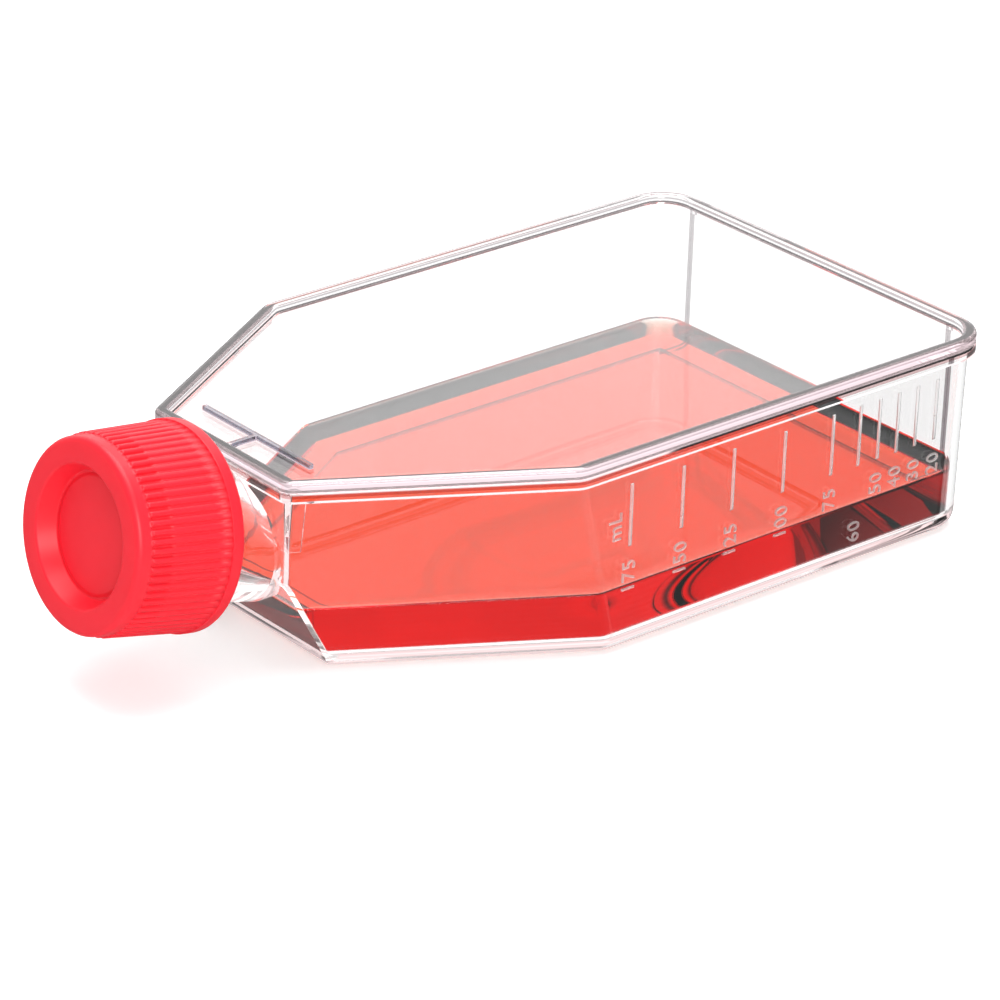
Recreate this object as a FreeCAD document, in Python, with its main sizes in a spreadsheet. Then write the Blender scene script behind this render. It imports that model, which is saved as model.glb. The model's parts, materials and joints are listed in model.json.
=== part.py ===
import FreeCAD, Part
import Sketcher
import math
import os

# Cell culture flask, 75 square centimetre class, lying on its growth face.
# +X runs from the neck to the back wall, +Z is up, and the origin is under the middle of the whole flask.
# Bodies are drawn with X = 0 at the front of the lip, and their Placement moves them into that frame.

vector = FreeCAD.Vector
constraint = Sketcher.Constraint
doc = FreeCAD.newDocument("culture_flask")

# ---- driving dimensions, in millimetres and degrees ----
dimensions = {
    # tray outline, measured on the lip
    "bodyLength": 128.0,
    "lipWidth": 82.3,
    "lipFrontHalf": 17.4,
    "shoulderAngle": 31.0,
    "backCorner": 7.8,
    "shoulderCorner": 5.0,
    "frontCorner": 2.6,
    "leastRound": 0.4,
    # tray walls and floor
    "bodyHeight": 35.3,
    "plateThick": 2.0,
    "flangeThick": 1.6,
    "flangeOverhang": 1.2,
    "weldChamfer": 0.25,
    "wall": 1.2,
    "sideDraft": 1.2,
    "shoulderDraft": 7.9,
    "frontDraft": 3.0,
    "rampHeight": 15.6,
    "rampFoot": 9.6,
    "baseRound": 3.0,
    "floorHeight": 2.3,
    "floorRound": 1.4,
    "footDepth": 0.9,
    "footWidth": 5.0,
    # canted neck: an oval root under the weld runs into a round, its axis a rise above the oval's centre
    "neckCant": 10.7,
    "neckRootX": 0.6,
    "neckRise": 2.12,
    "neckRadius": 12.5,
    "neckWall": 1.6,
    "neckRoundAt": 5.4,
    "mouthRound": 0.4,
    "rootTopGap": 0.4,
    "rootExtraWidth": 1.7,
    "rootLessHeight": 1.5,
    "rootWall": 2.2,
    # marks of the mould: a step where its slide met the front corners, and a gate under the neck
    "slideStep": 0.15,
    "slideReach": 3.6,
    "gateRadius": 1.5,
    "gateDrop": 0.8,
    # top plate
    "rimWidth": 2.3,
    "rimHeight": 1.0,
    "rimRound": 0.8,
    "spigotDepth": 0.6,
    "spigotGap": 0.1,
    "ribAt": 7.6,
    "ribEndGap": 3.4,
    "ribThick": 0.8,
    "ribHeight": 0.8,
    # liquid
    "mediumLevel": 10.8,
    "mediumGap": 0.05,
    # screw cap, placed by how far its skirt stands off the neck's root, and the seal disc inside it
    "capStandOff": 8.1,
    "capLength": 19.2,
    "capThreadGap": 1.6,
    "capWall": 1.5,
    "capSkirtWall": 2.7,
    "capFaceWall": 1.4,
    "capSkirtBand": 2.3,
    "capSkirtBevel": 0.5,
    "capBand": 2.2,
    "capFaceRound": 1.1,
    "capFaceWidth": 4.2,
    "capRecessBevel": 0.4,
    "capRecessDepth": 3.0,
    "capRecessSlope": 1.3,
    "capGrooveWidth": 1.0,
    "capDomeHeight": 0.4,
    "capWeb": 1.4,
    "capRibCount": 68,
    "capRibWidth": 1.0,
    "capRibCrest": 0.45,
    "capRibHeight": 0.4,
    "capRibNose": 0.5,
    "capRibSink": 0.1,
    "linerThick": 1.2,
    "linerEdgeGap": 0.4,
    "linerDish": 0.4,
    "linerSeat": 3.2,
    "seatGap": 0.05,
}

size = doc.addObject("Spreadsheet::Sheet", "size")
for row, (alias, value) in enumerate(dimensions.items(), start=1):
    size.set(f"A{row}", alias)
    size.set(f"B{row}", str(value))
    size.setAlias(f"B{row}", alias)
doc.recompute()

# ---- sizes that follow from them, as expressions ----
# tray and plate
weldHeight = "(size.bodyHeight - size.plateThick)"
plateFaceHeight = "(size.bodyHeight - size.rimHeight)"
shoulderTan = "tan(size.shoulderAngle * 1 deg)"
shoulderCos = "cos(size.shoulderAngle * 1 deg)"
innerInset = "(size.flangeOverhang + size.wall)"
spigotInset = f"({innerInset} + size.spigotGap)"
mediumInset = f"({innerInset} + size.mediumGap)"
frontAtRamp = f"(size.flangeOverhang + ({weldHeight} - size.rampHeight) * tan(size.frontDraft * 1 deg))"
rampRun = f"(size.rampFoot - {frontAtRamp})"
rampSlant = f"sqrt(size.rampHeight ^ 2 + {rampRun} ^ 2)"
ribHalfLength = "(size.lipFrontHalf - size.ribEndGap)"
# neck: places along its axis are counted from its root, which lies just inside the front wall
cant = "(size.neckCant * 1 deg)"
rootHalfWidth = "(size.neckRadius + size.rootExtraWidth)"
rootHalfHeight = "(size.neckRadius - size.rootLessHeight)"
rootAt = f"({frontAtRamp} - size.wall / 2)"
# the neck's top line, from the root oval up to the round, passes under the front edge of the weld
flareRise = (
    f"(size.neckRise - {rootHalfHeight} + size.neckRoundAt * sin{cant}"
    f" + size.neckRadius * cos{cant})"
)
flareRun = (
    f"({rootAt} - size.neckRootX + size.neckRoundAt * cos{cant}"
    f" - size.neckRadius * sin{cant})"
)
rootTopHeight = f"({weldHeight} - size.rootTopGap - {flareRise} * {rootAt} / {flareRun})"
rootCentreHeight = f"({rootTopHeight} - {rootHalfHeight})"
neckRootHeight = f"({rootCentreHeight} + size.neckRise)"
gateHeight = f"({rootCentreHeight} - {rootHalfHeight} - size.gateDrop)"
stubLength = f"(size.wall / 2 + {rampRun} * {rootHalfHeight} / size.rampHeight)"
# cap and seal disc, stacked back from the cap's face to the neck's mouth
capFaceAt = "(size.capStandOff + size.capLength)"
skirtEnd = "(size.capStandOff + size.capSkirtBand)"
bandEnd = f"({capFaceAt} - size.capBand)"
recessFloor = f"({capFaceAt} - size.capRecessDepth)"
ceilingAt = f"({recessFloor} - size.capWeb)"
linerAt = f"({ceilingAt} - size.seatGap - size.linerThick)"
mouthAt = f"({linerAt} - size.seatGap)"
capBoreRadius = "(size.neckRadius + size.capThreadGap)"
gripRadius = f"({capBoreRadius} + size.capWall)"
skirtRadius = f"({capBoreRadius} + size.capSkirtWall)"
gripRearRadius = f"({skirtRadius} - size.capRibHeight - size.capRibSink)"
faceRadius = f"({capBoreRadius} + size.capFaceWall)"
recessRadius = f"({faceRadius} - size.capFaceWidth)"
recessFootRadius = f"({recessRadius} - size.capRecessSlope)"
domeRadius = f"({recessFootRadius} - size.capGrooveWidth)"
gripEnd = f"({bandEnd} - size.capRibNose)"
linerRadius = f"({capBoreRadius} - size.linerEdgeGap)"
dishRadius = "(size.neckRadius - size.linerSeat)"
dishAt = f"({linerAt} + size.linerDish)"
# the whole flask: how far the rounded edge of the cap's face reaches, and the shift that centres it
capReach = (
    f"(size.neckRootX - ({capFaceAt} - size.capFaceRound) * cos{cant}"
    f" - ({faceRadius} - size.capFaceRound) * sin{cant} - size.capFaceRound)"
)
frameShift = f"-(size.bodyLength + {capReach}) / 2"

# corners of the outline: the radius, and the share of the body's length between which it lies
cornerZones = {
    "Back": ("size.backCorner", 0.7, 1.1),
    "Shoulder": ("size.shoulderCorner", 0.12, 0.7),
    "Front": ("size.frontCorner", -0.1, 0.12),
}

# how close two places count as one, in millimetres, and how square to an axis a wall's normal must be
near = 0.001
square = 0.95
bodyHeight = size.get("bodyHeight")
weldAt = bodyHeight - size.get("plateThick")


# ---- helpers ----

def newBody(name, placed=True):
    body = doc.addObject("PartDesign::Body", name)
    body.Label = name
    if placed:
        body.setExpression("Placement.Base.x", frameShift)
    return body


def neckBody(name):
    """Body whose own Z runs out along the neck's axis from the neck's root."""
    body = newBody(name, placed=False)
    body.Placement = FreeCAD.Placement(vector(0, 0, 0), FreeCAD.Rotation(vector(0, -1, 0), 80))
    body.setExpression("Placement.Base.x", f"{frameShift} + size.neckRootX")
    body.setExpression("Placement.Base.z", neckRootHeight)
    body.setExpression("Placement.Rotation.Angle", f"90 deg - {cant}")
    return body


def newSketch(body, name, role, height=None):
    plane = next(item for item in body.Origin.OriginFeatures if item.Role == role)
    sketch = body.newObject("Sketcher::SketchObject", name)
    sketch.AttachmentSupport = (plane, [""])
    sketch.MapMode = "FlatFace"
    if height:
        sketch.setExpression("AttachmentOffset.Base.z", height)
    doc.recompute()
    return sketch


def acrossNeck(body, name, at):
    """Sketch square to the neck's axis and centred on it, at a distance out from the neck's root."""
    sketch = newSketch(body, name, "YZ_Plane")
    sketch.AttachmentOffset = FreeCAD.Placement(vector(0, 0, 0), FreeCAD.Rotation(vector(1, 0, 0), 10))
    sketch.setExpression("AttachmentOffset.Base.y", f"{neckRootHeight} + {at} * sin{cant}")
    sketch.setExpression("AttachmentOffset.Base.z", f"size.neckRootX - {at} * cos{cant}")
    sketch.setExpression("AttachmentOffset.Rotation.Angle", cant)
    doc.recompute()
    return sketch


def dimension(sketch, name, rule, expression):
    """Add a named constraint and bind it to the sheet."""
    index = sketch.addConstraint(rule)
    sketch.renameConstraint(index, name)
    sketch.setExpression(f"Constraints.{name}", expression)


def polygon(sketch, points):
    """Closed polygon; each point is a name, a first guess and the two expressions that place it."""
    count = len(points)
    for i, point in enumerate(points):
        following = points[(i + 1) % count]
        sketch.addGeometry(Part.LineSegment(vector(*point[1], 0), vector(*following[1], 0)))
    for i in range(count):
        sketch.addConstraint(constraint("Coincident", i, 2, (i + 1) % count, 1))
    for i, (name, guess, xValue, yValue) in enumerate(points):
        dimension(sketch, f"{name}X", constraint("DistanceX", -1, 1, i, 1, guess[0]), xValue)
        dimension(sketch, f"{name}Y", constraint("DistanceY", -1, 1, i, 1, guess[1]), yValue)
    doc.recompute()


def circle(sketch, radius):
    guess = 10
    sketch.addGeometry(Part.Circle(vector(0, 0, 0), vector(0, 0, 1), guess))
    sketch.addConstraint(constraint("Coincident", 0, 3, -1, 1))
    dimension(sketch, "radius", constraint("Radius", 0, guess), radius)
    doc.recompute()


def oval(sketch, inset):
    """Ellipse round the root of the neck, wider than it is tall."""
    sketch.addGeometry(Part.Ellipse(vector(14, 21, 0), vector(0, 31, 0), vector(0, 21, 0)))
    sketch.exposeInternalGeometry(0)
    sketch.addConstraint(constraint("Horizontal", 1))
    dimension(sketch, "centreX", constraint("DistanceX", -1, 1, 0, 3, 0.0), "0")
    dimension(sketch, "centreY", constraint("DistanceY", -1, 1, 0, 3, 21.0), rootCentreHeight)
    acrossRule = constraint("DistanceX", 1, 2, 1, 1, 27.0)
    tallRule = constraint("DistanceY", 2, 2, 2, 1, 21.0)
    dimension(sketch, "across", acrossRule, f"2 * ({rootHalfWidth} - {inset})")
    dimension(sketch, "tall", tallRule, f"2 * ({rootHalfHeight} - {inset})")
    doc.recompute()


def outline(body, name, height, side, shoulder, front):
    """Six-sided flask outline, set in from the lip by side and shoulder, with its front run at front."""
    sketch = newSketch(body, name, "XY_Plane", height)
    guess = [(1, -17), (39, -40), (127, -40), (127, 40), (39, 40), (1, 17)]
    for i, start in enumerate(guess):
        sketch.addGeometry(Part.LineSegment(vector(*start, 0), vector(*guess[(i + 1) % 6], 0)))
    for i in range(6):
        sketch.addConstraint(constraint("Coincident", i, 2, (i + 1) % 6, 1))
    for right, left in (((0, 1), (4, 2)), ((0, 2), (4, 1)), ((1, 2), (3, 1))):
        sketch.addConstraint(constraint("Symmetric", *right, *left, -1))
    sketch.addConstraint(constraint("Horizontal", 1))
    frontHalf = f"size.lipFrontHalf + ({front}) * {shoulderTan} - ({shoulder}) / {shoulderCos}"
    halfWidth = f"(size.lipWidth / 2 - ({side}))"
    shoulderX = f"({halfWidth} - size.lipFrontHalf + ({shoulder}) / {shoulderCos}) / {shoulderTan}"
    dimension(sketch, "front", constraint("DistanceX", -1, 1, 0, 1, 1), front)
    dimension(sketch, "frontWidth", constraint("DistanceY", 0, 1, 4, 2, 34), f"2 * ({frontHalf})")
    dimension(sketch, "shoulder", constraint("DistanceX", -1, 1, 0, 2, 39), shoulderX)
    dimension(sketch, "fullWidth", constraint("DistanceY", 0, 2, 4, 1, 80), f"2 * {halfWidth}")
    dimension(sketch, "back", constraint("DistanceX", -1, 1, 1, 2, 127), f"size.bodyLength - ({side})")
    doc.recompute()
    return sketch


def extrude(body, kind, name, sketch, length, reverse=False, midplane=False):
    feature = body.newObject(f"PartDesign::{kind}", name)
    feature.Profile = sketch
    feature.setExpression("Length", length)
    feature.Reversed = reverse
    feature.Midplane = midplane
    doc.recompute()
    return feature


def loft(body, kind, name, first, last):
    feature = body.newObject(f"PartDesign::{kind}", name)
    feature.Profile = first
    feature.Sections = [last]
    doc.recompute()
    return feature


def revolve(body, name, sketch, axis):
    feature = body.newObject("PartDesign::Revolution", name)
    feature.Profile = sketch
    feature.ReferenceAxis = (sketch, [axis])
    feature.Angle = 360
    doc.recompute()
    return feature


def combine(body, name, kind, tool):
    """Cut another body from this one, or fuse it in."""
    feature = body.newObject("PartDesign::Boolean", name)
    feature.Type = kind
    feature.setObjects([tool])
    doc.recompute()
    return feature


def faces(feature, test):
    """Names of the flat faces whose outward normal passes the test."""
    found = []
    for i, face in enumerate(feature.Shape.Faces, start=1):
        if face.Surface.TypeId == "Part::GeomPlane" and test(face.normalAt(0, 0)):
            found.append(f"Face{i}")
    return found


def edges(feature, test):
    """Names of the edges that pass a test of their first point, last point and centre."""
    found = []
    for i, edge in enumerate(feature.Shape.Edges, start=1):
        if test(edge.valueAt(edge.FirstParameter), edge.valueAt(edge.LastParameter), edge.CenterOfMass):
            found.append(f"Edge{i}")
    return found


def level(height):
    """Edge test: both ends at one height."""
    return lambda first, last, centre: max(abs(first.z - height), abs(last.z - height)) < near


def rings(feature, sketch, points):
    """Names of the circular edges that the named points of a turned profile sweep."""
    found = []
    for point in points:
        radius = sketch.getDatum(f"{point}X").Value
        height = sketch.getDatum(f"{point}Y").Value

        def swept(first, last, centre):
            return abs(math.hypot(first.x, first.y) - radius) < near and abs(first.z - height) < near

        found += edges(feature, swept)
    return found


def dress(body, kind, name, base, names, value, field):
    """Fillet or chamfer the named edges of the last feature."""
    feature = body.newObject(f"PartDesign::{kind}", name)
    feature.Base = (base, names)
    feature.setExpression(field, value)
    doc.recompute()
    return feature


def fillet(body, name, base, names, radius):
    return dress(body, "Fillet", name, base, names, radius, "Radius")


def chamfer(body, name, base, names, width):
    return dress(body, "Chamfer", name, base, names, width, "Size")


def lean(body, name, base, test, angle):
    """Draft the upright walls that pass the test, so that they lean inwards below the top face."""
    feature = body.newObject("PartDesign::Draft", name)
    feature.Base = (base, faces(base, lambda normal: test(normal) and abs(normal.z) < 1 - square + near))
    feature.NeutralPlane = (base, faces(base, lambda normal: normal.z > square))
    feature.setExpression("Angle", f"{angle} * 1 deg")
    doc.recompute()
    if feature.Shape.Volume > base.Shape.Volume:
        feature.Reversed = True
        doc.recompute()
    return feature


def facesOut(normal):
    """Face test: a side wall or the back wall."""
    return max(abs(normal.y), normal.x) > square


def facesAslant(normal):
    """Face test: a shoulder, which faces between the front and one side."""
    return normal.x < -near and near < abs(normal.y) < square


def roundCorners(body, name, base, inset, top, foot, highestFoot=None):
    """Round the upright corners that reach the top, each by its own radius less the inset."""
    for place, (radius, start, end) in cornerZones.items():

        def upright(first, last, centre):
            low, high = sorted((first.z, last.z))
            reaches = abs(high - top) < near and foot - near < low < (highestFoot or foot) + near
            return reaches and start < centre.x / size.get("bodyLength") <= end

        corner = f"max({radius} - ({inset}); size.leastRound)"
        base = fillet(body, name + place, base, edges(base, upright), corner)
    return base


def flaskForm(body, name, inset, rampInset, floor, floorRound):
    """Flask shape below the weld: outline, leaning walls, ramp under the neck, rounded floor."""
    sketch = outline(body, name + "Outline", weldHeight, inset, inset, inset)
    base = extrude(body, "Pad", name + "Pad", sketch, f"{weldHeight} - ({floor})", reverse=True)
    base = lean(body, name + "Sides", base, facesOut, "size.sideDraft")
    base = lean(body, name + "Shoulders", base, facesAslant, "size.shoulderDraft")
    base = lean(body, name + "Front", base, lambda normal: normal.x < -square, "size.frontDraft")
    shift = f"({rampInset}) * {rampSlant} / size.rampHeight"
    overrun = "size.rampFoot"
    below = f"-size.rampHeight * {overrun} / {rampRun}"
    ramp = newSketch(body, name + "RampLine", "XZ_Plane")
    polygon(ramp, [
        ("upper", (-8, 40), f"{frontAtRamp} + {shift} - {overrun}", f"size.rampHeight - {below}"),
        ("corner", (-8, -9), f"{frontAtRamp} + {shift} - {overrun}", below),
        ("lower", (14, -9), f"size.rampFoot + {shift} + {overrun}", below),
    ])
    base = extrude(body, "Pocket", name + "Ramp", ramp, "2 * size.lipWidth", midplane=True)
    base = roundCorners(body, name, base, inset, weldAt, 0, highestFoot=0.8 * weldAt)
    bottom = min(vertex.Z for vertex in base.Shape.Vertexes)
    return fillet(body, name + "Floor", base, edges(base, level(bottom)), floorRound)


def block(body, name, height, low, high, tall):
    """Upright block between two corners, each a pair of expressions."""
    sketch = newSketch(body, name + "Outline", "XY_Plane", height)
    polygon(sketch, [
        ("nearLeft", (4, -4), low[0], low[1]),
        ("nearRight", (8, -4), high[0], low[1]),
        ("farRight", (8, 4), high[0], high[1]),
        ("farLeft", (4, 4), low[0], high[1]),
    ])
    return extrude(body, "Pad", name, sketch, tall)


def turned(body, name, points):
    """Revolve a closed profile of radius and distance along the neck; returns the profile and the solid."""
    sketch = newSketch(body, name + "Profile", "XZ_Plane")
    polygon(sketch, points)
    return sketch, revolve(body, name, sketch, "V_Axis")


# ---- the space inside the tray, cut out of it below ----
cavity = newBody("cavity", placed=False)
flaskForm(cavity, "cavity", innerInset, "size.wall", "size.floorHeight", "size.floorRound")

# ---- tray: walls, floor, ramp, flange and canted neck in one moulding ----
tray = newBody("flask_tray")
last = flaskForm(tray, "wall", "size.flangeOverhang", "0", "0", "size.baseRound")

# the growth face stands clear of the bench on a narrow foot
footSide = f"(size.flangeOverhang + {weldHeight} * tan(size.sideDraft * 1 deg) + size.footWidth)"
footShoulder = f"(size.flangeOverhang + {weldHeight} * tan(size.shoulderDraft * 1 deg) + size.footWidth)"
foot = outline(tray, "footOutline", None, footSide, footShoulder, "(size.rampFoot + size.footWidth)")
last = extrude(tray, "Pocket", "footRecess", foot, "size.footDepth", reverse=True)

# flange that the top plate is welded to
sketch = outline(tray, "flangeOutline", weldHeight, "0", "0", "0")
last = extrude(tray, "Pad", "flange", sketch, "size.flangeThick", reverse=True)
last = roundCorners(tray, "flange", last, "0", weldAt, weldAt - size.get("flangeThick"))
last = chamfer(tray, "flangeWeldEdge", last, edges(last, level(weldAt)), "size.weldChamfer")

# the mould's slide leaves a slight step round the front corners, above the neck's middle
slide = newBody("slideMark", placed=False)
flaskForm(slide, "slide", "(size.flangeOverhang - size.slideStep)", "0", "0", "size.baseRound")
sketch = newSketch(slide, "slideBelow", "XZ_Plane")
polygon(sketch, [
    ("frontLow", (-10, -1), "-size.bodyLength", "-size.bodyLength"),
    ("backLow", (130, -1), "2 * size.bodyLength", "-size.bodyLength"),
    ("backHigh", (130, 40), "2 * size.bodyLength", "size.bodyLength"),
    ("cornerHigh", (4, 40), "size.slideReach", "size.bodyLength"),
    ("corner", (4, 22), "size.slideReach", neckRootHeight),
    ("frontHigh", (-10, 22), "-size.bodyLength", neckRootHeight),
])
extrude(slide, "Pocket", "slideTrim", sketch, "2 * size.lipWidth", midplane=True)
combine(tray, "slideStep", "Fuse", slide)

# neck: a stub behind the front wall and ramp, an oval root that runs into a round, then the tube
rootOval = newSketch(tray, "rootOval", "YZ_Plane", rootAt)
oval(rootOval, "0")
neckRound = acrossNeck(tray, "neckRound", "size.neckRoundAt")
circle(neckRound, "size.neckRadius")
extrude(tray, "Pad", "rootStub", rootOval, stubLength)
loft(tray, "AdditiveLoft", "neckFlare", rootOval, neckRound)
extrude(tray, "Pad", "neckTube", neckRound, f"{mouthAt} - size.neckRoundAt", reverse=True)

sketch = newSketch(tray, "gateOutline", "XY_Plane", gateHeight)
circle(sketch, "size.gateRadius")
extrude(tray, "Pad", "gate", sketch, "size.gateDrop + size.neckWall")

combine(tray, "hollow", "Cut", cavity)

boreOval = newSketch(tray, "boreOval", "YZ_Plane", rootAt)
oval(boreOval, "size.rootWall")
boreRound = acrossNeck(tray, "boreRound", "size.neckRoundAt")
circle(boreRound, "(size.neckRadius - size.neckWall)")
extrude(tray, "Pocket", "rootBore", boreOval, stubLength, reverse=True)
loft(tray, "SubtractiveLoft", "flareBore", boreOval, boreRound)
last = extrude(tray, "Pocket", "neckBore", boreRound, mouthAt)

closedEdges = [edge for edge in last.Shape.Edges if edge.isClosed()]
mouthCentre = min(closedEdges, key=lambda edge: edge.CenterOfMass.x).CenterOfMass
outerRadius = size.get("neckRadius")


def mouthEdge(first, second, centre):
    """Edge test: the outer edge of the neck's mouth."""
    if centre.distanceToPoint(mouthCentre) > near:
        return False
    return abs(first.distanceToPoint(centre) - outerRadius) < near


fillet(tray, "mouthRound", last, edges(last, mouthEdge), "size.mouthRound")

# ---- top plate: raised rim, stiffening tee, and a spigot that drops inside the tray ----
plate = newBody("top_plate")
sketch = outline(plate, "plateOutline", weldHeight, "0", "0", "0")
extrude(plate, "Pad", "platePad", sketch, "size.plateThick")
sketch = outline(plate, "rimOutline", "size.bodyHeight", "size.rimWidth", "size.rimWidth", "size.rimWidth")
last = extrude(plate, "Pocket", "plateRecess", sketch, "size.rimHeight")
last = roundCorners(plate, "rim", last, "size.rimWidth", bodyHeight, bodyHeight - size.get("rimHeight"))
last = roundCorners(plate, "plate", last, "0", bodyHeight, weldAt)
last = fillet(plate, "rimRounds", last, edges(last, level(bodyHeight)), "size.rimRound")
last = chamfer(plate, "plateWeldEdge", last, edges(last, level(weldAt)), "size.weldChamfer")
sketch = outline(plate, "spigotOutline", weldHeight, spigotInset, spigotInset, spigotInset)
last = extrude(plate, "Pad", "spigot", sketch, "size.spigotDepth", reverse=True)
roundCorners(plate, "spigot", last, spigotInset, weldAt, weldAt - size.get("spigotDepth"))
block(plate, "crossRib", plateFaceHeight, ("size.ribAt - size.ribThick / 2", f"-{ribHalfLength}"),
      ("size.ribAt + size.ribThick / 2", ribHalfLength), "size.ribHeight")
block(plate, "stemRib", plateFaceHeight, ("size.rimWidth / 2", "-size.ribThick / 2"),
      ("size.ribAt", "size.ribThick / 2"), "size.ribHeight")

# ---- culture medium, lying on the growth face ----
medium = newBody("culture_medium")
mediumRampInset = "(size.wall + size.mediumGap)"
flaskForm(medium, "medium", mediumInset, mediumRampInset, "size.floorHeight", "size.floorRound")
sketch = outline(medium, "surfaceOutline", "size.mediumLevel", "0", "0", "0")
extrude(medium, "Pocket", "aboveSurface", sketch, "size.bodyHeight", reverse=True)

# ---- seal disc: it bears on the neck's mouth, dished clear of the bore, and lifts with the cap ----
liner = neckBody("cap_liner")
turned(liner, "disc", [
    ("dishAxis", (0, 22), "0", dishAt),
    ("dishInner", (9, 22), f"{dishRadius} - size.linerDish", dishAt),
    ("dishOuter", (10, 21.7), dishRadius, linerAt),
    ("edgeLow", (13.7, 21.7), linerRadius, linerAt),
    ("edgeHigh", (13.7, 22.9), linerRadius, f"{linerAt} + size.linerThick"),
    ("topAxis", (0, 22.9), "0", f"{linerAt} + size.linerThick"),
])

# ---- screw cap: ribbed skirt, plain bands and a recessed face ----
cap = neckBody("cap_shell")
profile, last = turned(cap, "shell", [
    ("ceilingAxis", (0, 22.9), "0", ceilingAt),
    ("ceilingEdge", (14.1, 22.9), capBoreRadius, ceilingAt),
    ("boreRear", (14.1, 8), capBoreRadius, "size.capStandOff"),
    ("skirtRear", (16.8, 8), skirtRadius, "size.capStandOff"),
    ("skirtFront", (16.8, 10.4), skirtRadius, skirtEnd),
    ("gripRear", (16.3, 10.4), gripRearRadius, skirtEnd),
    ("gripFront", (15.6, 24.5), gripRadius, gripEnd),
    ("bandRear", (15.5, 25), faceRadius, bandEnd),
    ("faceOuter", (15.5, 27.3), faceRadius, capFaceAt),
    ("recessRim", (11.3, 27.3), recessRadius, capFaceAt),
    ("recessFoot", (10, 24.3), recessFootRadius, recessFloor),
    ("domeFoot", (9.8, 24.3), f"{domeRadius} + 2 * size.capDomeHeight", recessFloor),
    ("domeEdge", (9.0, 24.7), domeRadius, f"{recessFloor} + size.capDomeHeight"),
    ("domeAxis", (0, 24.7), "0", f"{recessFloor} + size.capDomeHeight"),
])
last = fillet(cap, "faceRound", last, rings(last, profile, ["faceOuter"]), "size.capFaceRound")
last = chamfer(cap, "recessBevel", last, rings(last, profile, ["recessRim"]), "size.capRecessBevel")
chamfer(cap, "skirtBevel", last, rings(last, profile, ["skirtRear"]), "size.capSkirtBevel")


def ribSection(name, at, surface, height):
    """Section of a grip rib square to the cap's axis: a wide foot sunk in the shell, a narrower crest."""
    sketch = newSketch(cap, name, "XY_Plane", at)
    foot = f"{surface} - 2 * size.capRibSink"
    crest = f"{surface} + {height}"
    polygon(sketch, [
        ("footLeft", (15, -0.5), foot, "-size.capRibWidth / 2"),
        ("crestLeft", (16, -0.3), crest, "-size.capRibCrest / 2"),
        ("crestRight", (16, 0.3), crest, "size.capRibCrest / 2"),
        ("footRight", (15, 0.5), foot, "size.capRibWidth / 2"),
    ])
    return sketch


# each grip rib starts inside the skirt's band and ends in a nose that slopes into the shell
gripLean = f"(({gripRearRadius} - {gripRadius}) / ({gripEnd} - {skirtEnd}))"
ribRear = ribSection("ribRear", f"{skirtEnd} - size.capRibNose", gripRearRadius, "size.capRibHeight")
noseRadius = f"({gripRadius} + {gripLean} * size.capRibNose)"
ribNose = ribSection("ribNose", f"{gripEnd} - size.capRibNose", noseRadius, "size.capRibHeight")
ribTip = ribSection("ribTip", gripEnd, gripRadius, "-size.capRibSink")
rib = cap.newObject("PartDesign::AdditiveLoft", "rib")
rib.Profile = ribRear
rib.Sections = [ribNose, ribTip]
rib.Ruled = True
doc.recompute()
ribs = cap.newObject("PartDesign::PolarPattern", "ribs")
ribs.Originals = [rib]
ribs.Axis = (profile, ["V_Axis"])
ribs.Angle = 360
ribs.setExpression("Occurrences", "size.capRibCount")
cap.Tip = ribs
doc.recompute()

# ---- check every object, then write one STEP file for each piece ----
failed = [item.Name for item in doc.Objects if "Invalid" in item.State or "Error" in item.State]
if failed:
    raise RuntimeError("not built: " + ", ".join(failed))
pieces = (tray, plate, medium, liner, cap)
for piece in pieces:
    if piece.Shape.isNull() or not piece.Shape.isValid() or len(piece.Shape.Solids) != 1:
        raise RuntimeError("no single valid solid: " + piece.Label)
os.makedirs("parts", exist_ok=True)
for piece in pieces:
    piece.Shape.exportStep(f"parts/{piece.Label}.step")
    print(piece.Label, round(piece.Shape.Volume, 1), "cubic millimetres")
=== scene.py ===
import bpy
import json
import math
from mathutils import Euler, Matrix, Vector


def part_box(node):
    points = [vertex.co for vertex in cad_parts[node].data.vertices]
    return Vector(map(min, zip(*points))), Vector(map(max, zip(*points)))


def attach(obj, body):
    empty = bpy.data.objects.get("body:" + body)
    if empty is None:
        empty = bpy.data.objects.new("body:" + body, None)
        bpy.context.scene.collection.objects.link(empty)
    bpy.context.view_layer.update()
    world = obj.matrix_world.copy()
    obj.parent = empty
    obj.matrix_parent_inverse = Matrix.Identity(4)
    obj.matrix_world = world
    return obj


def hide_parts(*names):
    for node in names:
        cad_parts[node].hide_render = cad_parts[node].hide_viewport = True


# Cell culture flask of the 75 square centimetre class, lying on its growth face, part filled with red medium.
# +X runs from the neck to the back wall, +Z is up. Lengths are in metres, and mm stands for a millimetre.
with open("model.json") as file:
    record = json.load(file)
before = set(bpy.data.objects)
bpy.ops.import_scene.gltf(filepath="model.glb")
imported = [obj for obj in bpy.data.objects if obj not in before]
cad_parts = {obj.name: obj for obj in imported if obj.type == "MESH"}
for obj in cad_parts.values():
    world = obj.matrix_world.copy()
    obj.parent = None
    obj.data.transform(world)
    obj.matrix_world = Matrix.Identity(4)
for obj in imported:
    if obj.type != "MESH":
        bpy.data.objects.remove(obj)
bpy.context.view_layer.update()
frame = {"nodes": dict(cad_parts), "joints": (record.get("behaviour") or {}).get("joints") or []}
mm = 0.001

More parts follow.
